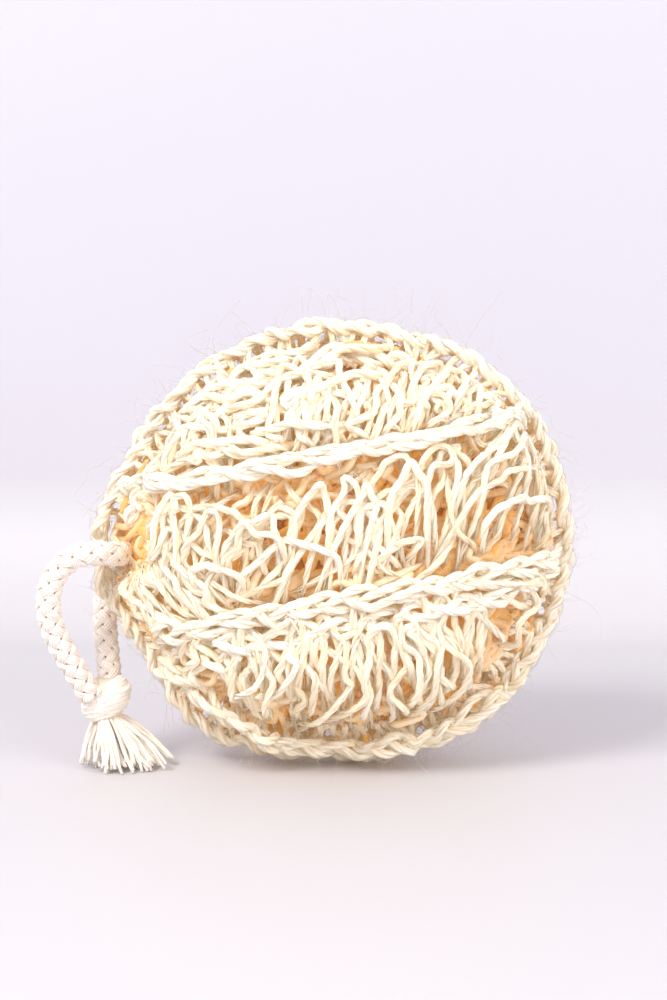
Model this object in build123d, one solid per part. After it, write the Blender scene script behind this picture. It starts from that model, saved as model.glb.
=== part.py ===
"""A crocheted sisal body scrub pad standing on its edge, with a braided cotton hanging cord.

The pad is a soft filling under rows of looped yarn. Chain-stitched ribs divide the rows, and a
see-through edging joins the front face to the back face inside an outer rim chain. A short
cotton cord passes through the edging at the left tip, and a wrapped knot holds its two legs
together above a frayed tassel. The cord swings about the hole that it passes through.

Millimetres. +X is to the right, away from the cord, -Y is the front face and +Z is up. The
origin is on the floor, under the middle of the pad.
"""

import os
from math import cos, pi, radians, sin, tan

from build123d import *

# Driving dimensions of the pad.
BUN_HALF_THICKNESS = 25.5  # from the middle plane to the crown of a face, under its ribs
CROWN_RADIUS = 125.0  # the gentle dome of each face
CROWN_HEIGHT = 52.0  # how high above the floor the crown stands
EDGE_ROUNDING = 8.0  # the rounded edge all round each face
LOOP_DEPTH = 6.0  # the layer of loops over the filling
CHAIN_DIAMETER = 6.0  # the rim chain, the ribs and the edge chains
EDGING_THICKNESS = 3.0
RIB_GROOVE = 5.0  # how far apart a rib holds two rows of loops
FACE_START = 4.0  # how far from the middle plane the loops of a face begin

# Outline of the pad, as the corners that its centre line rounds. It stands on its flat bottom.
RIM_CORNERS = (
    (-14, 3), (20, 3), (42, 14), (56, 38), (58.5, 52), (58.5, 66), (50, 90), (33, 104),
    (14, 110), (-10, 110), (-30, 102), (-47, 84), (-58.5, 60), (-58.5, 48), (-43, 24), (-34, 9),
)
# The stuffed part inside the rim. Its bottom is pressed flat by the floor.
BUN_CORNERS = (
    (-15, -3), (22, -3), (39, 9), (50.5, 36), (53, 52), (53, 65), (45.5, 86), (30.5, 98.5),
    (13, 104.5), (-9, 104.5), (-27, 97), (-40, 80), (-45, 62), (-45, 48), (-38, 27), (-29, 8),
)

# Ribs across each face, on planes that rise to the right: the height at X = 0, and the slope.
RIB_SLOPE = 10.5
UPPER_RIB_HEIGHT = 79.0
LOWER_RIB_HEIGHT = 45.0
# A rib's centre line on its plane: distance along the rib, and depth in front of the middle.
UPPER_RIB_ROUTE = ((-44, 6), (-41.5, 15.5), (-28, 20.5), (0, 24.2), (27, 21.2), (43.5, 15), (46.5, 6))
LOWER_RIB_ROUTE = ((-41, 6), (-38.5, 16), (-25, 21.5), (2, 24.4), (30, 21.5), (48, 15.5), (51, 6))
# The chains along the edge of each face, as points in X, depth and Z.
TOP_CHAIN_ROUTE = (
    (-44, 6, 62), (-40, 7.5, 78), (-27, 7.5, 95), (-9, 7.5, 103), (13, 7.5, 103),
    (30, 7.5, 97), (44.5, 7.5, 85), (51.5, 7, 66),
)
BOTTOM_CHAIN_ROUTE = (
    (-41, 7, 33), (-33, 13, 18), (-14, 15.5, 7.5), (8, 16, 6.5), (28, 15.5, 10),
    (41, 13, 22), (49, 8, 38),
)

# The cord hole, at the left tip. The cord swings about the hole's axis.
HOLE_X = -51.9
HOLE_Z = 54.0
CORD_DIAMETER = 6.5
HOLE_CLEARANCE = 0.3
# Each leg of the cord, from the middle of the hole into the knot.
FRONT_LEG_ROUTE = (
    (HOLE_X, 0, HOLE_Z), (HOLE_X, -6.5, HOLE_Z), (-56.4, -11, 55.4), (-64, -11.5, 54.8),
    (-69.6, -11, 47.8), (-70, -10.2, 38), (-65, -8.6, 27.5), (-59.8, -6.6, 18.5),
)
BACK_LEG_ROUTE = (
    (HOLE_X, 0, HOLE_Z), (HOLE_X, 6.5, HOLE_Z), (-55.2, 10.8, 50.6), (-57.8, 10.6, 42.4),
    (-57.6, 6.6, 32), (-55.8, 1.4, 20),
)
# The knot's wraps and the tassel below it.
KNOT_X = -56.6
KNOT_Y = -2.6
KNOT_BOTTOM = 12.0
KNOT_HEIGHT = 10.5
KNOT_END_RADIUS = 5.6
KNOT_RADIUS = 6.8
TASSEL_TOP_RADIUS = 3.6
TASSEL_FOOT_RADIUS = 8.5
TASSEL_FOOT_X = -52.8
TASSEL_FOOT_Y = -4.0
TASSEL_FOOT_HEIGHT = 1.0

FAR = 200.0  # reaches past the whole pad
SIDES = {"front": -1, "back": 1}


def corner_radii(points, closed=False):
    """The largest tangent arcs for a route: 0.45 of the shorter run over tan(half the turn)."""
    points = [Vector(*point) for point in points]
    if closed:
        points = [points[-1], *points, points[0]]
    radii = []
    for before, corner, after in zip(points, points[1:], points[2:]):
        come = corner - before
        go = after - corner
        half_turn = radians(come.get_angle(go)) / 2
        radii.append(0.45 * min(come.length, go.length) / tan(half_turn))
    return radii


def rounded_path(points, closed=False):
    return FilletPolyline(*points, radius=corner_radii(points, closed), close=closed)


def tube(points, diameter, closed=False):
    """A round tube along straight runs joined by tangent arcs."""
    path = rounded_path(points, closed)
    section = Plane(origin=path @ 0, z_dir=path % 0) * Circle(diameter / 2)
    return sweep(section, path=path)


def upright(corners):
    """Corners given as X and Z, in the pad's middle plane."""
    return [(x, 0, z) for x, z in corners]


def on_face(points, side):
    """A route given as X, depth and Z, on the front or the back face."""
    return [(x, side * depth, z) for x, depth, z in points]


def on_rib_plane(points, height, side):
    """A route given as distance along a rib and depth, on the rib's rising plane."""
    rise = radians(RIB_SLOPE)
    return [(u * cos(rise), side * depth, height + u * sin(rise)) for u, depth in points]


def above_floor(shape):
    """The floor presses the soft pad flat, so nothing is left below it."""
    return shape - Pos(0, 0, -FAR / 2) * Box(FAR, FAR, FAR)


def plate(corners, thickness, inset=0.0):
    """An upright plate of the given outline, centred on the middle plane."""
    face = make_face(rounded_path(upright(corners), closed=True))
    if inset:
        face = offset(face, amount=-inset)
    return extrude(face, amount=thickness / 2, dir=(0, 1, 0), both=True)


def domed_plate(inset=0.0):
    """The stuffed shape with sharp edges, its surface moved inwards by inset."""
    shape = plate(BUN_CORNERS, 2 * BUN_HALF_THICKNESS, inset)
    for side in SIDES.values():
        middle = Pos(0, side * (BUN_HALF_THICKNESS - CROWN_RADIUS), CROWN_HEIGHT)
        shape &= middle * Sphere(CROWN_RADIUS - inset)
    return shape


def make_bun():
    """The stuffed shape: domed on both faces, rounded along its edges and flat underneath."""
    shape = domed_plate()
    along_the_edge = [edge for edge in shape.edges() if abs((edge % 0.5).Y) < 0.5]
    return above_floor(fillet(along_the_edge, EDGE_ROUNDING))


def band(low_height, high_height):
    """The space between two planes that rise as the ribs do, from height to height at X = 0."""
    thickness = (high_height - low_height) * cos(radians(RIB_SLOPE))
    middle = Pos(0, 0, (low_height + high_height) / 2) * Rot(0, -RIB_SLOPE, 0)
    return middle * Box(2 * FAR, 2 * FAR, thickness)


def face_side(side):
    """All the space in front of the pad's edge, or behind it."""
    return Pos(0, side * (FAR / 2 + FACE_START), 0) * Box(FAR * 2, FAR, FAR * 2)


def make_chains(side):
    """The four chains of one face: along its top edge, two ribs, and along its bottom edge."""
    routes = {
        "top_chain": on_face(TOP_CHAIN_ROUTE, side),
        "upper_rib": on_rib_plane(UPPER_RIB_ROUTE, UPPER_RIB_HEIGHT, side),
        "lower_rib": on_rib_plane(LOWER_RIB_ROUTE, LOWER_RIB_HEIGHT, side),
        "bottom_chain": on_face(BOTTOM_CHAIN_ROUTE, side),
    }
    chains = {name: tube(route, CHAIN_DIAMETER) for name, route in routes.items()}
    for name in ("upper_rib", "lower_rib"):
        rib = cut_all(chains[name], (chains["top_chain"], chains["bottom_chain"]))
        chains[name] = largest_solid(rib)
    return chains


def make_loop_rows(bun, chains, side):
    """The three rows of loops of one face, parted by its two ribs."""
    half = RIB_GROOVE / 2
    rows = {
        "upper_loops": band(UPPER_RIB_HEIGHT + half, FAR),
        "middle_loops": band(LOWER_RIB_HEIGHT + half, UPPER_RIB_HEIGHT - half),
        "lower_loops": band(-FAR, LOWER_RIB_HEIGHT - half),
    }
    under_the_loops = domed_plate(LOOP_DEPTH)
    solids = {}
    for name, space in rows.items():
        row = (bun & space & face_side(side)) - under_the_loops
        solids[name] = largest_solid(cut_all(row, chains))
    return solids


def cut_all(shape, cutters):
    for cutter in cutters:
        shape = shape - cutter
    return shape


def largest_solid(shape):
    """Drops the crumbs that a chain cuts off beyond itself."""
    return max(shape.solids(), key=lambda solid: solid.volume)


def make_edging(bun, rim, face_chains):
    """The see-through edging between the stuffed part and the rim, with the hole for the cord."""
    edging = plate(RIM_CORNERS, EDGING_THICKNESS) - rim - bun
    hole = Pos(HOLE_X, 0, HOLE_Z) * Rot(90, 0, 0)
    hole = hole * Cylinder(CORD_DIAMETER / 2 + HOLE_CLEARANCE, FAR)
    return largest_solid(cut_all(edging - hole, face_chains))


def make_pad():
    bun = make_bun()
    rim = tube(upright(RIM_CORNERS), CHAIN_DIAMETER, closed=True)
    parts = {"outer_rim_chain": rim}
    face_chains = []
    for side_name, side in SIDES.items():
        chains = make_chains(side)
        rows = make_loop_rows(bun - rim, chains.values(), side)
        for name, solid in {**chains, **rows}.items():
            parts[f"{side_name}_{name}"] = solid
        face_chains += chains.values()
    edging = make_edging(bun, rim, face_chains)
    filling = cut_all(bun, list(parts.values()))
    return {"filling": largest_solid(filling), "edging": edging, **parts}


def make_knot():
    """The wraps that bind the two legs: a barrel, widest at its middle."""
    top = KNOT_BOTTOM + KNOT_HEIGHT
    middle = KNOT_BOTTOM + KNOT_HEIGHT / 2
    with BuildPart() as knot:
        with BuildSketch(Plane.XZ):
            with BuildLine():
                Polyline((0, top), (0, KNOT_BOTTOM), (KNOT_END_RADIUS, KNOT_BOTTOM))
                ThreePointArc((KNOT_END_RADIUS, KNOT_BOTTOM), (KNOT_RADIUS, middle), (KNOT_END_RADIUS, top))
                Line((KNOT_END_RADIUS, top), (0, top))
            make_face()
        revolve(axis=Axis.Z)
    return Pos(KNOT_X, KNOT_Y, 0) * knot.part


def make_tassel():
    """The cut ends below the knot, spread out over the floor and to the right."""
    neck = Pos(KNOT_X, KNOT_Y, KNOT_BOTTOM) * Circle(TASSEL_TOP_RADIUS)
    foot = Pos(TASSEL_FOOT_X, TASSEL_FOOT_Y, TASSEL_FOOT_HEIGHT) * Circle(TASSEL_FOOT_RADIUS)
    return loft([neck, foot], ruled=True)


def make_cord_leg(name, route, knot):
    """One leg of the cord, from the middle of the hole into the knot."""
    leg = tube(route, CORD_DIAMETER)
    length = rounded_path(route).length
    expected = length * pi * (CORD_DIAMETER / 2) ** 2
    radii = ", ".join(f"{radius:.1f}" for radius in corner_radii(route))
    print(f"{name}: {length:.1f} mm, volume over section times length {leg.volume / expected:.4f}")
    print(f"{name}: radii {radii} mm, cord {CORD_DIAMETER} mm")
    return largest_solid(leg - knot)


def make_cord():
    knot = make_knot()
    return {
        "cord_front_leg": make_cord_leg("cord_front_leg", FRONT_LEG_ROUTE, knot),
        "cord_back_leg": make_cord_leg("cord_back_leg", BACK_LEG_ROUTE, knot),
        "knot_wrap": knot,
        "tassel": make_tassel(),
    }


def main():
    os.makedirs("parts", exist_ok=True)
    for name, shape in {**make_pad(), **make_cord()}.items():
        shape.label = name
        export_step(shape, f"parts/{name}.step")


main()
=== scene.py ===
# %% [markdown]
# # A crocheted sisal scrub pad with a braided cotton cord
# The pad is worked in coarse, glossy plant fibre yarn. Chain-stitched ribs cross each face, long
# loops fill the rows between them, and a rim chain runs round a see-through edging. Everything
# soft here is yarn, so nearly every piece is one idea used again: a tube carried along a path.
# The paths are worked out with numpy as whole arrays, which is fast and gives the same loops on
# every run.

import bpy
import numpy as np
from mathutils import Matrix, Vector


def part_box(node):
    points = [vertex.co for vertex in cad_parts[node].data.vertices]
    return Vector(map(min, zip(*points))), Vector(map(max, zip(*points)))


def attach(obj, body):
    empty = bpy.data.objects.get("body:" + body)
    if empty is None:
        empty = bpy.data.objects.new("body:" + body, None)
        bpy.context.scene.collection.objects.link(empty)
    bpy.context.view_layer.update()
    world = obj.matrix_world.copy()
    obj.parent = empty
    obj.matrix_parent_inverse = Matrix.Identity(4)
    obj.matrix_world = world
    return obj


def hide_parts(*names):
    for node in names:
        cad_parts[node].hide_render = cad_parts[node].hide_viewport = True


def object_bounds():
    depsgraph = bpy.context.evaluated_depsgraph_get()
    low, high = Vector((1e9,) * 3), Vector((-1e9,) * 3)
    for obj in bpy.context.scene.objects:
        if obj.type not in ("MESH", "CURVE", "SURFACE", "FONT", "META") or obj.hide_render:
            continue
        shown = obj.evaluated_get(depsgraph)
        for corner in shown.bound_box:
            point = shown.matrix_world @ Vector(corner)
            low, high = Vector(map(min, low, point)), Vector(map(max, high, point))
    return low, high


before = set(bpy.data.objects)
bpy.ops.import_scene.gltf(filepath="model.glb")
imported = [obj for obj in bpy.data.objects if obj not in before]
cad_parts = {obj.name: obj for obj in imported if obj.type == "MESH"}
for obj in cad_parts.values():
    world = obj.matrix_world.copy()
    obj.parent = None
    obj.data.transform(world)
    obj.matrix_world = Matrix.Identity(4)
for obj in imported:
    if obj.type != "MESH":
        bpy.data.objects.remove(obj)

cad_box = [[float(v) for v in corner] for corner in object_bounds()]
rng = np.random.default_rng(7)
PAD, CORD = "pad", "cord_loop"
MM = 0.001
print("CAD box in metres:", cad_box)

# %% [markdown]
# ## Camera
# A long lens from a little above the pad's middle keeps its outline nearly undistorted.

# %% Camera
CAMERA_TARGET = Vector((0.6, 0, 67.0)) * MM
CAMERA_DISTANCE = 0.59
CAMERA_ELEVATION = np.radians(7.0)
LENS, SENSOR_WIDTH = 85, 36

camera_data = bpy.data.cameras.new("camera")
camera_data.lens = LENS
camera_data.sensor_width = SENSOR_WIDTH
camera = bpy.data.objects.new("camera", camera_data)
reach = Vector((0, -np.cos(CAMERA_ELEVATION), np.sin(CAMERA_ELEVATION))) * CAMERA_DISTANCE
camera.location = CAMERA_TARGET + reach
camera.rotation_euler = (np.pi / 2 - CAMERA_ELEVATION, 0, 0)
bpy.context.scene.collection.objects.link(camera)
bpy.context.scene.camera = camera

# %% [markdown]
# ## Shader maths as Python
# `Wire` wraps a socket, so an expression such as `1 - mask * 0.5` adds the Math nodes itself.
# `Shader.node` makes any other node from its type, its settings and its socket values.


# %% The two shader helpers
class Wire:
    """A number on its way through a shader; operators add Math nodes."""

    def __init__(self, shader, socket):
        self.shader = shader
        self.socket = socket

    def math(self, operation, first, second=None):
        values = {0: first} if second is None else {0: first, 1: second}
        return self.shader.node("ShaderNodeMath", {"operation": operation}, values)

    def __add__(self, other):
        return self.math("ADD", self, other)

    def __mul__(self, other):
        return self.math("MULTIPLY", self, other)

    def __sub__(self, other):
        return self.math("SUBTRACT", self, other)

    def __rsub__(self, other):
        return self.math("SUBTRACT", other, self)

    __radd__ = __add__
    __rmul__ = __mul__

    def clamped(self):
        low = self.math("MAXIMUM", self, 0.0)
        return self.math("MINIMUM", low, 1.0)

    def wave(self):
        return self.math("SINE", self)


class Shader:
    """One material with its Principled shader and a method that adds any node."""

    def __init__(self, name):
        self.material = bpy.data.materials.new(name)
        self.material.use_nodes = True
        self.tree = self.material.node_tree
        self.surface = self.tree.nodes["Principled BSDF"]

    def node(self, kind, settings=None, values=None, output=0):
        made = self.tree.nodes.new(kind)
        for key, value in (settings or {}).items():
            setattr(made, key, value)
        for key, value in (values or {}).items():
            self.feed(made.inputs[key], value)
        return Wire(self, made.outputs[output])

    def feed(self, socket, value):
        if isinstance(value, Wire):
            self.tree.links.new(value.socket, socket)
        else:
            socket.default_value = value

    def attribute(self, name):
        return self.node("ShaderNodeAttribute", {"attribute_name": name}, output="Fac")

    def mix(self, mask, first, second):
        """A colour between two colours, by a mask from 0 to 1."""
        colours = {0: mask, 6: first, 7: second}
        return self.node("ShaderNodeMix", {"data_type": "RGBA"}, colours, output=2)

    def noise(self, vector, scale, detail=2.0, roughness=0.6):
        values = {"Vector": vector, "Scale": scale, "Detail": detail, "Roughness": roughness}
        return self.node("ShaderNodeTexNoise", None, values)


def colour(hex_code):
    """Linear colour of a hexadecimal sRGB code."""
    srgb = np.array([int(hex_code[i:i + 2], 16) / 255 for i in (0, 2, 4)])
    linear = np.where(srgb <= 0.04045, srgb / 12.92, ((srgb + 0.055) / 1.055) ** 2.4)
    return (*linear.tolist(), 1.0)


# %% [markdown]
# ## What yarn looks like close up
# A plied yarn is a bundle of fine fibres that wind round it. Its surface coordinates are the turn
# around the yarn and the distance along it, so noise stretched along a slanted direction gives
# the fibres, both as streaks of colour and as fine relief. Yarn that lies deep in the pad is
# seen by light that has passed through other fibres. Here that light and shade are painted: the
# colour is painted golden with depth, and the yarn is given a warm emission glow.


# %% Yarn materials
def yarn_material(name, light, dark, deep, fibres=9.0, twist=420.0, relief=0.00035, sheen=0.25,
                  painted_top_glow=(0.065, 0.046, 0.021, 1), painted_deep_glow=(0.20, 0.104, 0.020, 1)):
    """Fibre streaks at v * twist + u * fibres, mixed between colours and used as relief. Painted
    shade: the colour is mixed towards the golden deep colour by depth. Painted light: an emission
    glow, faint on top yarn and warm golden on deep yarn, for light that reaches it through the
    yarn above."""
    shader = Shader(name)
    place = shader.node("ShaderNodeUVMap", {"uv_map": "yarn"})
    around = shader.node("ShaderNodeSeparateXYZ", None, {0: place})
    along = Wire(shader, around.socket.node.outputs[1])
    tone = shader.attribute("tone")
    slant = around * fibres + along * twist
    lane = shader.node("ShaderNodeCombineXYZ", None, {0: slant, 1: along * 55.0, 2: tone * 40.0})
    streak = shader.noise(lane, 1.0, detail=3.0, roughness=0.65)
    ply = (around * (2 * np.pi * 2) + along * (twist * 2.0)).wave() * 0.5 + 0.5
    contrast = ((streak - 0.36) * 3.2).clamped()
    base = shader.mix(contrast, dark, light)
    # Painted shade: up to 30 % of the dark colour in the grooves between the plies, where ply is low.
    base = shader.mix((1 - ply) * 0.30, base, dark)
    worn = shader.mix((tone * 0.45).clamped(), base, light)
    # Painted shade: the colour is mixed towards the golden deep colour by how deep the yarn lies in the
    # pad.
    with_painted_shade = shader.mix(shader.attribute("deep").clamped(), worn, deep)
    shader.feed(shader.surface.inputs["Base Color"], with_painted_shade)
    # Painted light: an emission glow, warm golden on a deep yarn and faint on a top one.
    glow = shader.mix(shader.attribute("deep").clamped(), painted_top_glow, painted_deep_glow)
    shader.feed(shader.surface.inputs["Emission Color"], glow)
    shader.surface.inputs["Emission Strength"].default_value = 1.0
    shader.feed(shader.surface.inputs["Roughness"], 0.62 - contrast * 0.2)
    height = streak * 0.7 + ply * 0.5
    bump = shader.node(
        "ShaderNodeBump", None, {"Strength": 0.9, "Distance": relief, "Height": height})
    shader.feed(shader.surface.inputs["Normal"], bump)
    shader.surface.inputs["Sheen Weight"].default_value = sheen
    shader.surface.inputs["Specular IOR Level"].default_value = 0.4
    return shader.material


# The third colour of each yarn is its golden deep colour, painted shade that is mixed in by depth.
LOOP_YARN = yarn_material(
    "sisal_loop_yarn", colour("FFFDF4"), colour("FBE0B0"), colour("EDB35A"), twist=140.0)
CHAIN_YARN = yarn_material(
    "sisal_chain_yarn", colour("FFFDF6"), colour("FCE6BE"), colour("EDB868"), twist=140.0)
# Painted shade: the stuffing is coloured golden and amber for the shade and warm light between the
# loops.
PAINTED_SHADE_STUFFING = yarn_material(
    "sisal_stuffing_painted_shade", colour("E8AE58"), colour("B87422"), colour("B87422"), relief=0.0008)
# Painted light: the cotton gets a faint even emission glow and no extra glow by depth. Its darker deep
# colours are painted shade.
COTTON_LOOK = {
    "relief": 0.0002, "sheen": 0.4,
    "painted_top_glow": (0.05, 0.045, 0.04, 1), "painted_deep_glow": (0, 0, 0, 1),
}
COTTON = yarn_material(
    "cotton_braid", colour("FBF3EB"), colour("E8D8C9"), colour("C4A287"),
    fibres=4.0, twist=700.0, **COTTON_LOOK)
COTTON_ENDS = yarn_material(
    "cotton_ends", colour("FFF9F0"), colour("F0E2D2"), colour("DCC3A8"),
    fibres=4.0, twist=500.0, **COTTON_LOOK)
HAIR = yarn_material(
    "stray_fibre", colour("FFF8EA"), colour("F3DDB6"), colour("B98A50"), relief=0.0001)
print("materials:", len(bpy.data.materials))

# %% [markdown]
# ## One tube for every yarn
# A curve with a bevel would do, but thousands of curves are slow. Here all the yarns of a piece
# are one mesh: rings of points round each path, joined by four-sided faces, with closed ends.


# %% Paths and tubes
def unit(vectors):
    return vectors / np.maximum(np.linalg.norm(vectors, axis=-1, keepdims=True), 1e-12)


def smooth(points, stations):
    """A Catmull-Rom curve through each path's points: (N, K, 3) becomes (N, stations, 3)."""
    count = points.shape[1]
    first = 2 * points[:, :1] - points[:, 1:2]
    last = 2 * points[:, -1:] - points[:, -2:-1]
    held = np.concatenate([first, points, last], axis=1)
    t = np.linspace(0, count - 1, stations)
    i = np.minimum(t.astype(int), count - 2)
    f = (t - i)[None, :, None]
    a, b, c, d = (held[:, i + k] for k in range(4))
    bent = (2 * a - 5 * b + 4 * c - d) * f**2 + (3 * b - a - 3 * c + d) * f**3
    return 0.5 * (2 * b + (c - a) * f + bent)


def carried_frames(paths):
    """Tangent, side and up along each path, the side carried on from station to station."""
    tangent = unit(np.gradient(paths, axis=1))
    side = np.empty_like(paths)
    start = np.where(np.abs(tangent[:, 0, 2:]) < 0.9, [[0.0, 0.0, 1.0]], [[1.0, 0.0, 0.0]])
    side[:, 0] = unit(np.cross(start, tangent[:, 0]))
    for m in range(1, paths.shape[1]):
        t = tangent[:, m]
        carried = side[:, m - 1]
        side[:, m] = unit(carried - (carried * t).sum(-1, keepdims=True) * t)
    return tangent, side, np.cross(tangent, side)


def distance_along(paths):
    """The distance from each path's start to each of its stations: (N, M, 3) becomes (N, M)."""
    steps = np.linalg.norm(np.diff(paths, axis=1), axis=-1)
    return np.concatenate([np.zeros((len(paths), 1)), np.cumsum(steps, axis=1)], axis=1)


def yarn_piece(name, groups, material, floor=0.0002):
    """One mesh of tubes. Each group is (paths, radius, deep, tone, sides): ring points lie at
    path + radius * (cos a * side + sin a * up), and none is under the floor."""
    points, quads, caps, quad_uv, cap_sizes = [], [], [], [], []
    deep_values, tone_values = [], []
    offset = 0
    for paths, radius, deep, tone, sides in groups:
        n, m, _ = paths.shape
        _, side, up = carried_frames(paths)
        a = np.linspace(0, 2 * np.pi, sides, endpoint=False)
        size = np.broadcast_to(np.asarray(radius, float), (n, m))[:, :, None, None]
        ring = np.cos(a)[:, None] * side[:, :, None] + np.sin(a)[:, None] * up[:, :, None]
        body = paths[:, :, None] + size * ring
        body[..., 2] = np.maximum(body[..., 2], floor)
        points.append(body.reshape(-1, 3))
        index = np.arange(n * m * sides).reshape(n, m, sides) + offset
        nxt = np.roll(index, -1, axis=2)
        quads.append(np.stack(
            [index[:, :-1], nxt[:, :-1], nxt[:, 1:], index[:, 1:]], axis=-1).reshape(-1, 4))
        caps.append(np.concatenate([index[:, 0, ::-1], index[:, -1]]).ravel())
        cap_sizes.append(np.full(2 * n, sides))
        run = distance_along(paths)
        u0 = np.broadcast_to(np.arange(sides) / sides, (n, m - 1, sides))
        v0 = np.broadcast_to(run[:, :-1, None], u0.shape)
        v1 = np.broadcast_to(run[:, 1:, None], u0.shape)
        u1 = u0 + 1 / sides
        quad_uv.append(np.stack(
            [u0, v0, u1, v0, u1, v1, u0, v1], axis=-1).reshape(-1, 2))
        deep_values.append(np.repeat(np.broadcast_to(deep, (n, m)).reshape(-1), sides))
        tone_row = np.broadcast_to(np.asarray(tone, float).reshape(-1, 1), (n, m))
        tone_values.append(np.repeat(tone_row.reshape(-1), sides))
        offset += n * m * sides
    points = np.concatenate(points)
    quads = np.concatenate(quads)
    caps = np.concatenate(caps)
    quad_uv = np.concatenate(quad_uv)
    mesh = bpy.data.meshes.new(name)
    mesh.vertices.add(len(points))
    mesh.vertices.foreach_set("co", points.ravel())
    corners = np.concatenate([quads.ravel(), caps])
    mesh.loops.add(len(corners))
    mesh.loops.foreach_set("vertex_index", corners)
    corner_counts = np.concatenate([np.full(len(quads), 4), *cap_sizes])
    starts = np.cumsum(corner_counts) - corner_counts
    mesh.polygons.add(len(starts))
    mesh.polygons.foreach_set("loop_start", starts)
    mesh.polygons.foreach_set("use_smooth", np.ones(len(starts), bool))
    mesh.update(calc_edges=True)
    layer = mesh.uv_layers.new(name="yarn")
    cap_uv = np.full((len(caps), 2), 0.5)
    layer.data.foreach_set("uv", np.concatenate([quad_uv, cap_uv]).ravel())
    for key, values in (("deep", deep_values), ("tone", tone_values)):
        made = mesh.attributes.new(key, "FLOAT", "POINT")
        made.data.foreach_set("value", np.concatenate(values).astype(np.float32))
    mesh.materials.append(material)
    piece = bpy.data.objects.new(name, mesh)
    bpy.context.scene.collection.objects.link(piece)
    print(name, "faces", len(starts))
    return piece


# %% [markdown]
# ## A yarn is a bundle
# One smooth tube looks like clay. Real yarn is a loose bundle, so each yarn is made as three
# thinner strands wound slowly round its path, with a few single fibres that run beside it.


# %% Bundles
STRANDS = 3
STRAND_OFFSET, STRAND_TURNS = 0.46, 75.0
FIBRE_OFFSET, FIBRE_TURNS = 1.02, 60.0
FIBRE_RADIUS = 0.055 * MM


def beside(paths, away, turns, strands):
    """Lines round each path: path + away * (cos a * side + sin a * up), where a grows by turns
    per metre and the strands start evenly apart, each yarn at a random turn."""
    n, m, _ = paths.shape
    _, side, up = carried_frames(paths)
    run = distance_along(paths)
    share = np.arange(strands)[None, :, None] * 2 * np.pi / strands
    start = rng.uniform(0, 2 * np.pi, (n, 1, 1)) + share
    a = start + run[:, None] * turns * 2 * np.pi
    ring = np.cos(a)[..., None] * side[:, None] + np.sin(a)[..., None] * up[:, None]
    return (paths[:, None] + away * ring).reshape(n * strands, m, 3)


def bundle_groups(paths, radius, deep, tone, fibres=3):
    """Tube groups of a bundle: three strands, and single fibres beside them."""
    n, m, _ = paths.shape
    size = np.broadcast_to(np.asarray(radius, float), (n, m))
    middle = float(size.mean())
    strands = beside(paths, middle * STRAND_OFFSET, STRAND_TURNS, STRANDS)
    strand_size = np.repeat(size, STRANDS, axis=0) * rng.uniform(0.50, 0.68, (n * STRANDS, 1))
    strand_tone = np.repeat(np.asarray(tone, float).reshape(-1), STRANDS)
    strand_tone = np.clip(strand_tone + rng.normal(0, 0.2, n * STRANDS), 0, 1)
    groups = [(strands, strand_size, deep, strand_tone, 5)]
    if fibres:
        singles = beside(paths, middle * FIBRE_OFFSET, FIBRE_TURNS, fibres)
        drift = wander(n * fibres, m, 0.35 * MM, 5)
        groups.append((singles + drift, FIBRE_RADIUS, deep, rng.uniform(0.4, 1, n * fibres), 3))
    return groups


def wander(count, stations, scale, knots):
    """Slow random offsets along each of several paths, as smooth noise of three numbers."""
    return smooth(rng.normal(0, scale, (count, knots, 3)), stations)


# %% [markdown]
# ## The pad's shape, read from the frame
# The rim chain of the frame gives the outline: for each direction from the pad's middle, the
# distance to the rim. A dome of that outline gives the depth of each face.

# %% Outline and dome
MIDDLE = np.array([2.0, 54.0]) * MM
EDGING_WIDTH = 6.0 * MM
CROWN = 23.5 * MM
YARN = 1.02 * MM
BINS, FINE_STEPS = 90, 1440

rim_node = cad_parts["outer_rim_chain"].data
rim_points = np.empty(len(rim_node.vertices) * 3)
rim_node.vertices.foreach_get("co", rim_points)
rim_points = rim_points.reshape(-1, 3)[:, [0, 2]] - MIDDLE
rim_angle = np.arctan2(rim_points[:, 1], rim_points[:, 0])
rim_reach = np.hypot(rim_points[:, 0], rim_points[:, 1])
bins = np.floor((rim_angle + np.pi) / (2 * np.pi) * BINS).astype(int) % BINS
used = np.unique(bins)
centre_reach = np.array([(rim_reach[bins == b].max() + rim_reach[bins == b].min()) / 2 for b in used])
centre_angle = (used + 0.5) / BINS * 2 * np.pi - np.pi
corners = np.stack([np.cos(centre_angle), np.sin(centre_angle)], 1) * centre_reach[:, None]
fine = np.linspace(0, len(used), FINE_STEPS + 1)[:-1]
dense = np.stack(
    [np.interp(fine, np.arange(len(used)), corners[:, k], period=len(used)) for k in (0, 1)], 1)
dense_angle = np.arctan2(dense[:, 1], dense[:, 0])
order = np.argsort(dense_angle)
dense_angle = dense_angle[order]
dense_reach = np.hypot(dense[:, 0], dense[:, 1])[order]


def rim_radius(angle):
    """Distance from the pad's middle to the centre line of the rim, by direction."""
    turned = (np.asarray(angle) + np.pi) % (2 * np.pi) - np.pi
    return np.interp(turned, dense_angle, dense_reach, period=2 * np.pi)


def depth(x, z):
    """How far a face stands from the middle plane: crown * (1 - rho^3.2)^0.55 + 2 mm, where rho
    is the share of the way out to the edge of the stuffed part."""
    dx = x - MIDDLE[0]
    dz = z - MIDDLE[1]
    rho = np.hypot(dx, dz) / (rim_radius(np.arctan2(dz, dx)) - EDGING_WIDTH + 2.0 * MM)
    return CROWN * np.clip(1 - rho**3.2, 0, 1) ** 0.55 + 2.0 * MM


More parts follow.
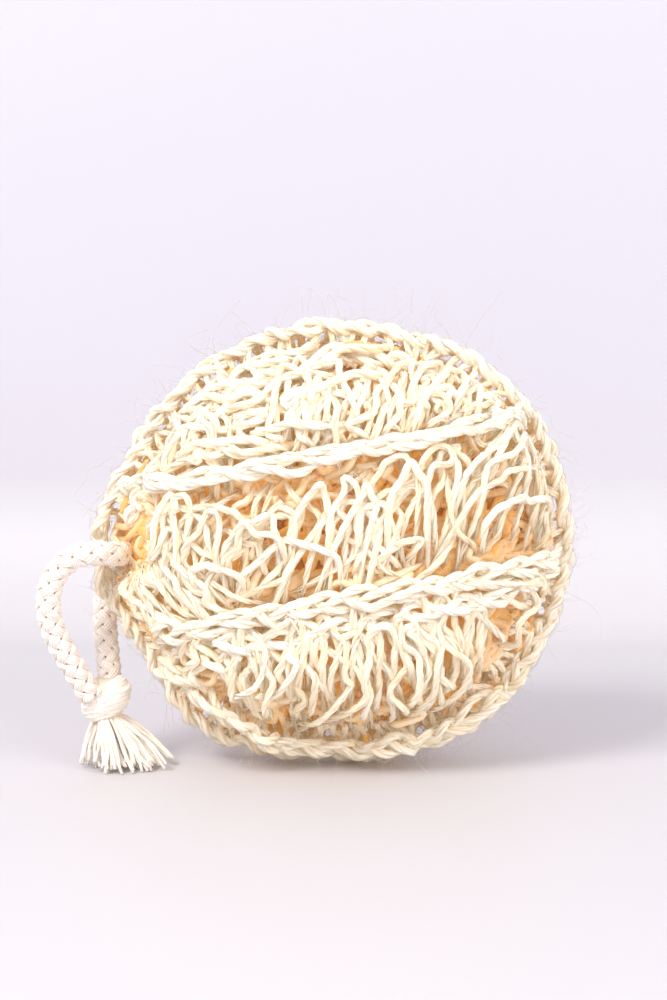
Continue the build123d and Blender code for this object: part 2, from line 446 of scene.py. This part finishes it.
def on_face(x, z, side, lift):
    """Points of a face, lifted along its normal; the slope of the depth gives the normal."""
    step = 0.5 * MM
    middle = depth(x, z)
    slope_x = np.clip((depth(x + step, z) - depth(x - step, z)) / (2 * step), -2, 2)
    slope_z = np.clip((depth(x, z + step) - depth(x, z - step)) / (2 * step), -2, 2)
    normal = unit(np.stack([-slope_x, np.ones_like(slope_x), -slope_z], axis=-1))
    point = np.stack([x, middle, z], axis=-1) + normal * np.asarray(lift)[..., None]
    point[..., 2] = np.maximum(point[..., 2], YARN)
    return point * np.array([1, side, 1])


SWING_SIDE, SWING_FLOOR, SWING_LIMIT = -46.2 * MM, 51 * MM, 5.6 * MM


def leave_room(points):
    """Draws yarn by the hole in towards the middle plane, up to a limit on |y| that opens out
    past the hole, so that the cord's front leg can swing up past it."""
    x, z = points[..., 0], points[..., 2]
    past_side = np.clip((x - SWING_SIDE) / (4 * MM), 0, 1)
    under = np.clip((SWING_FLOOR - z) / (3 * MM), 0, 1)
    limit = SWING_LIMIT + 40 * MM * np.clip(past_side + under, 0, 1) ** 2
    points[..., 1] = np.clip(points[..., 1], -limit, limit)
    return points


print("pad outline from", dense_reach.min(), "to", dense_reach.max(), "m")

# %% [markdown]
# ## The stuffing
# Under the loops is a tangle of the same yarn, seen only as golden depths between them. A
# padded body of the pad's own shape stands for it, with a rough surface, so no gap shows through.
# Its golden and amber colour is painted shade and painted warm light; the yarn itself is cream.

# %% Stuffing
SHELL_RINGS, SHELL_TURNS = 40, 128
rho = np.linspace(0, 1, SHELL_RINGS + 1)[1:] ** 0.8
turn = np.linspace(0, 2 * np.pi, SHELL_TURNS, endpoint=False)
share, angle = np.meshgrid(rho, turn, indexing="ij")
reach_out = (rim_radius(angle) - EDGING_WIDTH - 2.0 * MM) * share
shell_x = MIDDLE[0] + reach_out * np.cos(angle)
shell_z = np.maximum(MIDDLE[1] + reach_out * np.sin(angle), 1.5 * MM)
rough = 0.7 * MM * (np.sin(shell_x * 900 + 3 * np.sin(shell_z * 700)) + np.sin(shell_z * 1100))
shell_y = np.clip(depth(shell_x, shell_z) - 7.0 * MM + rough, 1.0 * MM, None)
shell_y[-1] = 1.0 * MM
rings = []
for side in (-1, 1):
    rings.append(leave_room(np.stack([shell_x, side * shell_y, shell_z], -1)).reshape(-1, 3))
poles = np.array([[MIDDLE[0], side * (CROWN - 5.0 * MM), MIDDLE[1]] for side in (-1, 1)])
points = np.concatenate([*rings, poles])
per_side = SHELL_RINGS * SHELL_TURNS
grid = np.arange(per_side).reshape(SHELL_RINGS, SHELL_TURNS)
after = np.roll(grid, -1, axis=1)
front = np.stack([grid[:-1], grid[1:], after[1:], after[:-1]], -1).reshape(-1, 4)
back = front[:, ::-1] + per_side
belt = np.stack([grid[-1], grid[-1] + per_side, after[-1] + per_side, after[-1]], -1)
faces = [*front.tolist(), *back.tolist(), *belt.tolist()]
faces += [[2 * per_side, grid[0, k], after[0, k]] for k in range(SHELL_TURNS)]
faces += [[2 * per_side + 1, after[0, k] + per_side, grid[0, k] + per_side] for k in range(SHELL_TURNS)]
stuffing_mesh = bpy.data.meshes.new("stuffing")
stuffing_mesh.from_pydata(points.tolist(), [], [[int(i) for i in f] for f in faces])
stuffing_mesh.polygons.foreach_set("use_smooth", np.ones(len(stuffing_mesh.polygons), bool))
stuffing_mesh.update()
layer = stuffing_mesh.uv_layers.new(name="yarn")
corner_vertex = np.empty(len(stuffing_mesh.loops), int)
stuffing_mesh.loops.foreach_get("vertex_index", corner_vertex)
flat_uv = points[corner_vertex][:, [0, 2]] * np.array([120.0, 1.0])
layer.data.foreach_set("uv", flat_uv.ravel())
stuffing_mesh.materials.append(PAINTED_SHADE_STUFFING)
stuffing = bpy.data.objects.new("stuffing", stuffing_mesh)
bpy.context.scene.collection.objects.link(stuffing)
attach(stuffing, PAD)
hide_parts("filling")

# %% [markdown]
# ## Chains
# A crochet chain looks like a flat plait: each strand swings from side to side and dips under
# its neighbours. With s along the chain and a third of a stitch between strands, the sideways
# swing is sin(s) and the dip is sin(2s).


# %% Chain strands along a path
def resample(path, spacing):
    """The same line with stations evenly spaced along it."""
    steps = np.linalg.norm(np.diff(path, axis=0), axis=1)
    run = np.concatenate([[0], np.cumsum(steps)])
    stations = np.linspace(0, run[-1], max(int(run[-1] / spacing), 4))
    return np.stack([np.interp(stations, run, path[:, k]) for k in range(3)], 1), stations


def chain(path, outward, width, dip, stitch, strands=3, jitter=0.35 * MM):
    """Plaited strands: path + width * sin(s) * across + dip * sin(2 s) * outward."""
    line, run = resample(path, 0.9 * MM)
    spread = np.linspace(0, len(outward) - 1, len(line))
    stations = np.arange(len(outward))
    out = unit(np.stack([np.interp(spread, stations, outward[:, k]) for k in range(3)], 1))
    along = unit(np.gradient(line, axis=0))
    across = unit(np.cross(out, along))
    phase = np.arange(strands)[:, None] * 2 * np.pi / strands
    s = run[None] * 2 * np.pi / stitch + phase
    s = s + 0.35 * np.sin(run[None] * 170 + phase * 3)
    sway = width * np.sin(s)[..., None] * across
    shape = line[None] + sway + dip * np.sin(2 * s)[..., None] * out
    return leave_room(shape + wander(strands, len(line), jitter, max(len(line) // 7, 4)))


def normals_on(path, side):
    """Outward directions of the face under a path."""
    low = on_face(path[:, 0], path[:, 2], side, np.zeros(len(path)))
    high = on_face(path[:, 0], path[:, 2], side, np.full(len(path), MM))
    return unit(high - low)


def polar_path(start, end, inset, y, count=90):
    """A line along the outline, inset from the rim, between two directions in degrees."""
    a = np.radians(np.linspace(start, end, count))
    r = rim_radius(a) - inset
    x = MIDDLE[0] + r * np.cos(a)
    z = np.maximum(MIDDLE[1] + r * np.sin(a), 1.6 * MM)
    return np.stack([x, np.broadcast_to(y, x.shape), z], 1)


SLOPE = np.tan(np.radians(10.5))
upper_low, upper_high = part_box("front_upper_rib")
lower_low, lower_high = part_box("front_lower_rib")
UPPER = (upper_low[2] + upper_high[2]) / 2 - (upper_low[0] + upper_high[0]) / 2 * SLOPE
LOWER = (lower_low[2] + lower_high[2]) / 2 - (lower_low[0] + lower_high[0]) / 2 * SLOPE


def rib_path(low, high, height, side, bend, lift, count=80):
    """A line across a face at a height that rises with x, with a slow bend of its own."""
    x = np.linspace(low, high, count)
    z = height + x * SLOPE + bend * np.sin((x - low) / (high - low) * np.pi)
    return on_face(x, z, side, np.full(count, lift))


# %% Chains of both faces, and the rim
def chain_tubes(strands, radius=1.2 * MM):
    return bundle_groups(strands, radius, 0.0, rng.uniform(0.3, 1.0, len(strands)), fibres=4)


FACES = (("front", -1), ("back", 1))
BOTTOM_X = np.linspace(-0.040, 0.051, 80)
BOTTOM_SHARES = (0, 0.2, 0.33, 0.5, 0.72, 0.9, 1)
BOTTOM_HEIGHTS = np.array([29, 14.5, 8, 7.2, 12, 22, 37]) * MM
LOOSE = 0.6 * MM

for side_name, side in FACES:
    upper = rib_path(-0.050, 0.0455, UPPER, side, 1.5 * MM, 3.4 * MM)
    lower = rib_path(-0.041, 0.053, LOWER, side, 0.5 * MM, 3.4 * MM)
    twin = rib_path(-0.026, 0.053, LOWER - 4.6 * MM, side, -1.0 * MM, 2.6 * MM)
    top = polar_path(172, -2, 7.0 * MM, side * 7.8 * MM)
    share = (BOTTOM_X - BOTTOM_X[0]) / (BOTTOM_X[-1] - BOTTOM_X[0])
    bottom_z = np.interp(share, BOTTOM_SHARES, BOTTOM_HEIGHTS)
    bottom = on_face(BOTTOM_X, bottom_z, side, np.full(len(BOTTOM_X), 2.8 * MM))
    # Each row is a path with its width, dip and stitch in mm, then strands and looseness.
    plans = {
        "upper_rib": ((upper, 1.5, 0.8, 31, 3, LOOSE),),
        "lower_rib": ((lower, 1.9, 0.9, 24, 3, LOOSE), (twin, 1.3, 0.8, 22, 2, 0.7 * MM)),
        "top_chain": ((top, 1.8, 0.9, 21, 3, LOOSE),),
        "bottom_chain": ((bottom, 1.9, 0.9, 22, 3, LOOSE),),
    }
    pieces = {
        name: [
            chain(path, normals_on(path, side), width * MM, dip * MM, stitch * MM, count, loose)
            for path, width, dip, stitch, count, loose in plan]
        for name, plan in plans.items()}
    for name, plaits in pieces.items():
        node = f"{side_name}_{name}"
        groups = [tubes for plait in plaits for tubes in chain_tubes(plait)]
        made = yarn_piece(f"{node}_yarn", groups, CHAIN_YARN)
        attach(made, PAD)
        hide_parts(node)

rim_line = polar_path(180, -180, 0.0, 0.0, count=260)
rim_out = rim_line - np.array([MIDDLE[0], 0, MIDDLE[1]])
rim_strands = chain(rim_line, unit(rim_out), 2.4 * MM, 0.9 * MM, 20 * MM, jitter=0.5 * MM)
rim = yarn_piece("outer_rim_yarn", chain_tubes(rim_strands), CHAIN_YARN)
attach(rim, PAD)
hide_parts("outer_rim_chain")

# %% [markdown]
# ## Edging
# Short yarns lean to and fro between the rim and the faces' edges. They stay apart, so that
# the backdrop shows through the edging in small gaps, as in real open crochet.


# %% Edging yarns
def edging_yarns(side, count=110):
    """Yarns from the rim to a face's edge, each leaning by a random few degrees, with none by
    the cord's hole."""
    a = np.linspace(0, 2 * np.pi, count, endpoint=False) + rng.normal(0, 0.02, count)
    lean = rng.choice([-1, 1], count) * rng.uniform(0.03, 0.13, count)
    shares = np.linspace(0, 1, 5)
    angles = a[:, None] + lean[:, None] * shares
    inset = shares * 9.0 * MM
    r = rim_radius(angles) - inset
    y = side * (shares**1.4 * 8.5 * MM + 0.4 * MM)
    x = MIDDLE[0] + r * np.cos(angles)
    z = np.maximum(MIDDLE[1] + r * np.sin(angles), 1.2 * MM)
    paths = np.stack([x, np.broadcast_to(y, x.shape), z], -1)
    paths = paths + rng.normal(0, 0.4 * MM, paths.shape)
    clear = np.abs(a % (2 * np.pi) - np.pi) > 0.13
    return smooth(paths[clear], 12)


edging_groups = []
for side in (-1, 1):
    paths = edging_yarns(side)
    tones = rng.uniform(0, 1, len(paths))
    # Depth 0.1: a little painted golden shade and painted glow.
    edging_groups += bundle_groups(paths, YARN * 0.85, 0.1, tones, fibres=1)
edging = yarn_piece("edging_yarn", edging_groups, CHAIN_YARN)
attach(edging, PAD)
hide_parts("edging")

# %% [markdown]
# ## Loops
# Each row holds layers of loops. Three are of short strands in every direction, painted golden
# where they lie deepest and paler above (painted shade and painted glow, by depth), and on top
# are the long pale loops that one sees. A loop is a few points in the row's own coordinates,
# x across and height up between the ribs, with a random offset for each, joined by a smooth curve.


# %% Loops of a row
def strands_between(x0, h0, x1, h1, side, lift, bow, stations, jitter=1.1 * MM, knots=7):
    """Strands from (x0, h0) to (x1, h1), bowed sideways by bow * sin(pi t) and standing out by
    lift * sin(pi t). Heights rise with x as the ribs do."""
    t = np.linspace(0, 1, knots)
    wave = np.sin(np.pi * t)
    x = x0[:, None] + (x1 - x0)[:, None] * t + bow[:, None] * wave
    h = h0[:, None] + (h1 - h0)[:, None] * t
    x = x + rng.normal(0, jitter, x.shape) * wave
    h = h + rng.normal(0, jitter, h.shape) * wave
    z = h + x * SLOPE
    out = lift[:, None] * wave**0.7 - 2.6 * MM * (1 - wave) ** 3 + rng.normal(0, 0.5 * MM, x.shape)
    return smooth(on_face(x, z, side, out), stations)


def arches(x, base, top, width, lean, side, lift, stations):
    """Arch-shaped loops: two legs from the base and a round top, leaning to one side."""
    t = np.linspace(0, 1, 9)
    across = -np.cos(np.pi * t) * (1 - 0.15 * np.sin(np.pi * t))
    rise = np.sin(np.pi * t) ** 0.6
    px = x[:, None] + width[:, None] / 2 * across + lean[:, None] * rise
    ph = base[:, None] + (top - base)[:, None] * rise
    px = px + rng.normal(0, 3.5 * MM, (len(x), 1)) * (t - 0.5) + rng.normal(0, 0.9 * MM, px.shape)
    ph = ph + rng.normal(0, 5.0 * MM, (len(x), 1)) * np.abs(t - 0.5)
    ph = ph + rng.normal(0, 0.8 * MM, ph.shape)
    tuck = 2.8 * MM * (1 - rise) ** 3
    out = lift[:, None] * (0.35 + 0.65 * rise) - tuck + rng.normal(0, 0.4 * MM, px.shape)
    return smooth(on_face(px, ph + px * SLOPE, side, out), stations)


def keep_inside(paths):
    """Draws paths that leave the outline back inside it."""
    dx = paths[..., 0] - MIDDLE[0]
    dz = paths[..., 2] - MIDDLE[1]
    angle = np.arctan2(dz, dx)
    limit = rim_radius(angle) - 4.0 * MM
    shrink = np.minimum(1, limit / np.maximum(np.hypot(dx, dz), 1e-9))
    paths[..., 0] = MIDDLE[0] + dx * shrink
    paths[..., 2] = np.maximum(MIDDLE[1] + dz * shrink, YARN)
    return leave_room(paths)


def edge_height(x, top=True):
    """The height, less the ribs' rise, at which a row meets the outline above or below."""
    z = np.linspace(0, 0.112, 225)
    dx = x[:, None] - MIDDLE[0]
    dz = z[None] - MIDDLE[1]
    inside = np.hypot(dx, dz) < rim_radius(np.arctan2(dz, dx)) - 8.0 * MM
    edge = np.where(inside, z, -1).max(1) if top else np.where(inside, z, 1).min(1)
    return edge - x * SLOPE


def draw(low, high, count):
    return rng.uniform(low, high, count)


# deep is the share of painted shade (the golden deep colour) and painted glow that a layer's yarns get.
def group(paths, deep, radius=YARN):
    n, m, _ = paths.shape
    taper = np.minimum(1, 0.35 + 6 * np.minimum(np.linspace(0, 1, m), np.linspace(1, 0, m)))
    thick = radius * rng.uniform(0.80, 1.15, (n, 1)) * taper
    return keep_inside(paths), thick, deep, rng.uniform(0, 1, n)


def as_tubes(yarns):
    """Long loops are bundles; the layers under them are plain tubes, being hardly seen."""
    tubes = []
    for paths, thick, deep, tone in yarns:
        if deep < 0.3:
            tubes += bundle_groups(paths, thick, deep, tone)
        else:
            tubes.append((paths, thick, deep, tone, 6))
    return tubes


def tangle(low, high, side, count, deep, lift_low, lift_high):
    """Short strands in every direction, for the layers under the long loops."""
    x = draw(-0.050, 0.054, count)
    share = draw(0, 1, count)
    h = low(x) + (high(x) - low(x)) * share
    turn = draw(0.0, 1.0, count) * np.pi
    length = draw(9, 22, count) * MM
    lift = draw(lift_low, lift_high, count) * MM
    bow = rng.normal(0, 3.0 * MM, count)
    dx, dh = np.cos(turn) * length / 2, np.sin(turn) * length / 2
    paths = strands_between(x - dx, h - dh, x + dx, h + dh, side, lift * 0, bow, 16)
    normal = normals_on(paths.reshape(-1, 3), side).reshape(paths.shape)
    return group(paths + normal * lift[:, None, None], deep, YARN * 0.95)


def upper_row(side):
    """Steep strands on the right, and long strands that sweep up from the left."""
    groups = []
    count = 38
    x = draw(-0.018, 0.050, count)
    base = UPPER + draw(0, 4, count) * MM
    lean = rng.normal(-1.5 * MM, 5.5 * MM, count)
    top = edge_height(np.clip(x + lean, -0.044, 0.050)) + draw(-6, 1, count) * MM
    groups.append(group(strands_between(
        x, base, x + lean, top, side, draw(0.5, 4.5, count) * MM,
        rng.normal(0, 3.5 * MM, count), 22, 1.4 * MM), 0.03, YARN * 0.92))
    x = draw(-0.046, -0.012, 26)
    base = UPPER + draw(1, 18, 26) * MM + (x + 0.046) * 0.2
    reach_x = draw(14, 34, 26) * MM
    groups.append(group(strands_between(
        x, base, x + reach_x, base + draw(-3, 7, 26) * MM, side, draw(2.0, 5.0, 26) * MM,
        rng.normal(0, 1.5 * MM, 26), 24), 0.0, YARN * 1.2))
    x = draw(-0.040, 0.046, 26)
    top = np.minimum(edge_height(x) - 1 * MM, UPPER + draw(10, 26, 26) * MM)
    groups.append(group(arches(
        x, np.full(26, UPPER), top, draw(6, 13, 26) * MM, rng.normal(0, 3 * MM, 26), side,
        draw(1.5, 4.5, 26) * MM, 26), 0.03))
    return groups


def middle_row(side):
    """Arches of every size standing on the lower rib, and long strands from rib to rib."""
    groups = []
    count = 34
    x = np.linspace(-0.044, 0.050, count) + rng.normal(0, 2.0 * MM, count)
    top = UPPER - np.abs(rng.normal(0, 7 * MM, count)) - 1.5 * MM
    groups.append(group(arches(
        x, LOWER + draw(-1, 10, count) * MM, top, draw(8, 22, count) * MM,
        rng.normal(2 * MM, 5 * MM, count), side, draw(2.0, 5.5, count) * MM, 30), 0.0, YARN * 0.95))
    x = draw(-0.048, 0.053, 26)
    groups.append(group(strands_between(
        x, LOWER + draw(0, 5, 26) * MM, x + rng.normal(0, 15 * MM, 26), UPPER - draw(0, 5, 26) * MM,
        side, draw(0.0, 3.0, 26) * MM, rng.normal(0, 7 * MM, 26), 24, 1.6 * MM), 0.12, YARN * 0.9))
    return groups


def lower_row(side):
    """Curved strands that fan out from the lower rib down to the edge, leaning right."""
    groups = []
    count = 46
    x = np.linspace(-0.040, 0.050, count) + rng.normal(0, 1.8 * MM, count)
    lean = rng.normal(7 * MM, 9 * MM, count) + x * 0.2
    foot = edge_height(np.clip(x + lean, -0.036, 0.048), top=False) + draw(-2, 4, count) * MM
    groups.append(group(strands_between(
        x, np.full(count, LOWER) + draw(-3, 1, count) * MM, x + lean, foot, side,
        draw(1.0, 5.0, count) * MM, rng.normal(5.0 * MM, 5.0 * MM, count), 26, 1.4 * MM), 0.0,
        YARN * 0.95))
    x = draw(-0.034, 0.046, 26)
    low = edge_height(x, top=False)
    groups.append(group(arches(
        x, low + draw(0, 5, 26) * MM, LOWER - draw(0, 9, 26) * MM, draw(5, 12, 26) * MM,
        rng.normal(-3 * MM, 3 * MM, 26), side, draw(1.5, 4.5, 26) * MM, 26), 0.03))
    return groups


def left_tip(side):
    """Strands side by side that run down from the cord hole to the lower edge."""
    count = 15
    x = np.linspace(-0.052, -0.040, count) + rng.normal(0, 0.6 * MM, count)
    start = np.linspace(0.0585, 0.066, count)
    return group(strands_between(
        x, start, x + draw(12, 20, count) * MM, start - draw(17, 24, count) * MM, side,
        draw(1.5, 3.5, count) * MM, rng.normal(0, 1.0 * MM, count), 22), 0.0)


def constant(height):
    return lambda x: np.full(len(x), height)


rows = {
    "upper_loops": (constant(UPPER), edge_height, upper_row),
    "middle_loops": (constant(LOWER), constant(UPPER), middle_row),
    "lower_loops": (lambda x: edge_height(x, top=False), constant(LOWER), lower_row),
}
for side_name, side in FACES:
    for row, (low, high, worked) in rows.items():
        # The tangles lie at depths 0.9, 0.55 and 0.3, so the lowest get the most painted shade and
        # painted glow.
        groups = [
            tangle(low, high, side, 190, 0.9, -6.0, -3.8),
            tangle(low, high, side, 130, 0.55, -4.0, -2.0),
            tangle(low, high, side, 40, 0.3, -2.2, 0.5),
            *worked(side),
        ]
        if row == "middle_loops":
            groups.append(left_tip(side))
        made = yarn_piece(f"{side_name}_{row}_yarn", as_tubes(groups), LOOP_YARN)
        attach(made, PAD)
        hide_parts(f"{side_name}_{row}")

# %% [markdown]
# ## Stray fibres
# Plant fibre yarn is hairy. Fine three-sided hairs stand off every face and curl over the gaps.


# %% Stray fibres
def stray_fibres(side, count, length, curl, lift):
    """Hairs that start on a face and wander off along and away from it."""
    a = draw(0, 2 * np.pi, count)
    r = (rim_radius(a) + 1.0 * MM) * np.sqrt(draw(0.02, 1.0, count))
    x = MIDDLE[0] + r * np.cos(a)
    z = np.maximum(MIDDLE[1] + r * np.sin(a), 2 * MM)
    start = on_face(x, z, side, np.zeros(count))
    normal = normals_on(start, side)
    heading = unit(rng.normal(0, 1, (count, 3)) + normal * lift)
    t = np.linspace(0, 1, 5)[None, :, None]
    reach_to = draw(length * 0.4, length, count)[:, None, None]
    paths = start[:, None] + heading[:, None] * t * reach_to + wander(count, 5, curl, 3) * t
    paths[..., 2] = np.maximum(paths[..., 2], 0.3 * MM)
    return leave_room(smooth(paths, 10))


for side_name, side in FACES:
    short = stray_fibres(side, 1700, 8 * MM, 3.5 * MM, 0.7)
    long = stray_fibres(side, 420, 15 * MM, 5 * MM, 0.3)
    low, high = np.array(cad_box[0]) - 7 * MM, np.array(cad_box[1]) + 7 * MM
    groups = []
    # Long hairs get a random depth up to 0.36: a random share of the golden deep colour and warm glow,
    # painted shade and painted light.
    for paths, radius, deep in ((short, 0.05 * MM, 0.0), (long, 0.055 * MM, 0.12)):
        paths = np.clip(paths, low, high)
        taper = radius * np.linspace(1, 0.45, paths.shape[1])[None]
        depths = deep * draw(0, 3, len(paths))[:, None]
        groups.append((paths, taper, depths, draw(0, 1, len(paths)), 3))
    hairs = yarn_piece(f"{side_name}_stray_fibres", groups, HAIR)
    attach(hairs, PAD)

# %% [markdown]
# ## The braided cord
# The cord is a round braid of eight flat strands, four winding each way, and each strand is four
# fine yarns side by side. Where two strands cross, one rises and the other dips, so the radius
# swings as cos(4 a), with a the turn round the cord, and the two ways take opposite signs.

# %% Cord lines from their routes
HOLE = (-51.9, 0, 54)
FRONT_LEG_ROUTE = (
    HOLE, (-51.9, -6.5, 54), (-56.4, -11, 55.4), (-64, -11.5, 54.8),
    (-69.6, -11, 47.8), (-70, -10.2, 38), (-65, -8.6, 27.5), (-59.8, -6.6, 18.5),
)
BACK_LEG_ROUTE = (
    HOLE, (-51.9, 6.5, 54), (-55.2, 10.8, 50.6), (-57.8, 10.6, 42.4),
    (-57.6, 6.6, 32), (-55.8, 1.4, 20),
)
CORD_DIAMETER = 6.5 * MM


def route_line(route):
    """Points read from the smooth NURBS line of a cord's route."""
    curve = bpy.data.curves.new("route", "CURVE")
    curve.dimensions = "3D"
    spline = curve.splines.new("NURBS")
    spline.points.add(len(route) - 1)
    for point, place in zip(spline.points, route):
        point.co = (*(Vector(place) * MM), 1)
    spline.order_u = 3
    spline.use_endpoint_u = True
    spline.resolution_u = 24
    holder = bpy.data.objects.new("route", curve)
    line_mesh = bpy.data.meshes.new_from_object(holder)
    line = np.empty(len(line_mesh.vertices) * 3)
    line_mesh.vertices.foreach_get("co", line)
    bpy.data.objects.remove(holder)
    bpy.data.meshes.remove(line_mesh)
    return resample(line.reshape(-1, 3), 0.55 * MM)


def braid(line, run):
    """Thirty-two yarns round a line: line + radius * (cos a * side + sin a * up)."""
    _, side, up = carried_frames(line[None])
    side, up = side[0], up[0]
    pitch = 17.0 * MM
    fine_yarn = 0.40 * MM
    turn = run * 2 * np.pi / pitch
    yarns = []
    for way in (-1, 1):
        for strand in range(4):
            for k in (-1.5, -0.5, 0.5, 1.5):
                a = way * turn + strand * np.pi / 2 + k * 0.29
                swing = way * 0.42 * MM * np.cos(4 * turn + way * k * 0.25)
                radius = CORD_DIAMETER / 2 - 0.75 * MM + swing - 0.06 * MM * k * k
                ring = np.cos(a)[:, None] * side + np.sin(a)[:, None] * up
                yarns.append(line + radius[:, None] * ring)
    return np.stack(yarns), fine_yarn


for leg, route in (("cord_front_leg", FRONT_LEG_ROUTE), ("cord_back_leg", BACK_LEG_ROUTE)):
    line, run = route_line(route)
    yarns, fine_yarn = braid(line, run)
    tones = rng.uniform(0, 1, len(yarns))
    # The core has depth 0.9: painted shade in the darker deep colour, seen between the braid's yarns.
    core = (line[None], CORD_DIAMETER / 2 - 1.1 * MM, 0.9, [0.5], 12)
    made = yarn_piece(f"{leg}_braid", [(yarns, fine_yarn, 0.0, tones, 6), core], COTTON)
    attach(made, CORD)
    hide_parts(leg)
    print(leg, "length", run[-1])

# %% [markdown]
# ## Knot and tassel
# The knot is the same fine yarn wound round both legs in slanting turns. Below it the yarns are
# cut, and they spread out over the floor.

# %% Knot wraps
knot_low, knot_high = (np.array(c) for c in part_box("knot_wrap"))
knot_middle = (knot_low + knot_high) / 2
knot_half = (knot_high - knot_low) / 2
wrap_count = 30
turns = np.linspace(0, 2 * np.pi * 1.02, 56)
level = np.linspace(-1.0, 1.0, wrap_count)
bulge = knot_half[0] * (0.86 - 0.30 * level**2) * rng.uniform(0.97, 1.04, wrap_count)
slant = 0.30 + rng.normal(0, 0.03, wrap_count)
crease = 1 - 0.10 * np.exp(-((turns - 1.5 * np.pi) ** 2) / 0.12)
ring_x = bulge[:, None] * np.cos(turns) * crease
ring_y = bulge[:, None] * np.sin(turns) * crease * 0.95
ring_z = level[:, None] * knot_half[2] * 0.80 + slant[:, None] * ring_x
wraps = np.stack([ring_x, ring_y, ring_z], -1) + knot_middle
wraps = wraps + wander(wrap_count, 56, 0.12 * MM, 9)
core = smooth(np.array([[knot_middle + [0, 0, s * knot_half[2] * 0.9] for s in (-1, -0.3, 0.3, 1)]]), 14)
core_size = knot_half[0] * (0.80 - 0.30 * np.linspace(-1, 1, 14) ** 2)
# The core inside the wraps has depth 0.7: painted shade in the darker deep colour.
knot = yarn_piece(
    "knot_wraps",
    [(wraps, 0.46 * MM, 0.0, rng.uniform(0, 1, wrap_count), 6), (core, core_size[None], 0.7, [0.4], 16)],
    COTTON_ENDS)
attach(knot, CORD)
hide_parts("knot_wrap")

# %% Tassel ends
tassel_low, tassel_high = (np.array(c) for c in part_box("tassel"))
end_count = 140
TASSEL_LEAN = (1.5 * MM, 0, 0)
neck = np.array([knot_middle[0], knot_middle[1], tassel_high[2] + 1.5 * MM])
foot = np.array([(tassel_low[0] + tassel_high[0]) / 2, (tassel_low[1] + tassel_high[1]) / 2, 0])
around = draw(0, 2 * np.pi, end_count)
spread = np.sqrt(draw(0.02, 1, end_count))
fan = np.stack([np.cos(around) * 1.15, np.sin(around), np.zeros(end_count)], -1) * spread[:, None]
t = np.array([0, 0.25, 0.5, 0.75, 1.0])[None, :, None]
half_width = (tassel_high[0] - tassel_low[0]) / 2
ends = neck * (1 - t) + (foot + TASSEL_LEAN) * t
ends = ends + fan[:, None] * (2.2 * MM + half_width * t**1.1)
lifted = spread[:, None] * draw(0, 3, end_count)[:, None] * MM * t[..., 0]
height = neck[2] * (1 - t[..., 0] ** 1.25) + lifted
ends[..., 2] = np.maximum(height, 0.5 * MM)
ends = ends + wander(end_count, 5, 0.7 * MM, 4) * t
# Painted shade: the ends are mixed towards the darker deep colour by up to a quarter at the knot, fading
# to none at their tips.
tassel = yarn_piece(
    "tassel_ends",
    [(smooth(ends, 14), 0.40 * MM, 0.25 * np.linspace(1, 0, 14)[None], draw(0, 1, end_count), 6)],
    COTTON_ENDS)
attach(tassel, CORD)
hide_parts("tassel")

# %% [markdown]
# ## Studio
# A pale sweep of paper: a floor that curves up into a backdrop, under large soft lamps. The
# paper is clear from its back side, so the pad can be looked at from behind.

# %% Floor and backdrop
floor_shader = Shader("studio_paper")
ground = floor_shader.node("ShaderNodeTexCoord", output="Object")
height = floor_shader.node("ShaderNodeSeparateXYZ", None, {0: ground}, output=2)
paper = floor_shader.mix((height * 12.0).clamped(), colour("CFCBCD"), colour("CDC9D2"))
floor_shader.feed(floor_shader.surface.inputs["Base Color"], paper)
floor_shader.surface.inputs["Roughness"].default_value = 0.5
facing_away = floor_shader.node("ShaderNodeNewGeometry", output="Backfacing")
floor_shader.feed(floor_shader.surface.inputs["Alpha"], 1 - facing_away)
sweep_start, sweep_radius, half = 0.16, 0.05, 1.6
quarter = np.linspace(0, np.pi / 2, 24)
sweep_end = sweep_start + sweep_radius
profile_y = np.concatenate([[-half], sweep_start + sweep_radius * np.sin(quarter), [sweep_end]])
profile_z = np.concatenate([[0.0], sweep_radius * (1 - np.cos(quarter)), [half]])
left = np.stack([np.full_like(profile_y, -half), profile_y, profile_z], -1)
right = left * np.array([-1, 1, 1])
count = len(profile_y)
strip = [[i, i + count, i + count + 1, i + 1] for i in range(count - 1)]
paper_mesh = bpy.data.meshes.new("studio_sweep")
paper_mesh.from_pydata(np.concatenate([left, right]).tolist(), [], strip)
paper_mesh.polygons.foreach_set("use_smooth", np.ones(len(strip), bool))
paper_mesh.materials.append(floor_shader.material)
studio = bpy.data.objects.new("studio_sweep", paper_mesh)
bpy.context.scene.collection.objects.link(studio)


# %% Lamps and world
def soft_lamp(name, place, aim, size, watts):
    data = bpy.data.lights.new(name, "AREA")
    data.shape = "SQUARE"
    data.size = size
    data.energy = watts
    lamp = bpy.data.objects.new(name, data)
    lamp.location = place
    lamp.rotation_euler = (Vector(aim) - Vector(place)).to_track_quat("-Z", "Y").to_euler()
    bpy.context.scene.collection.objects.link(lamp)


soft_lamp("key", (-0.55, -0.65, 0.85), (0, 0, 0.05), 0.4, 10.0)
soft_lamp("fill", (0.75, -0.7, 0.45), (0, 0, 0.05), 0.7, 5.5)
world = bpy.data.worlds.new("studio")
world.use_nodes = True
world.node_tree.nodes["Background"].inputs[0].default_value = (0.95, 0.95, 1.0, 1)
world.node_tree.nodes["Background"].inputs[1].default_value = 0.80
bpy.context.scene.world = world
bpy.context.scene.view_settings.view_transform = "Standard"
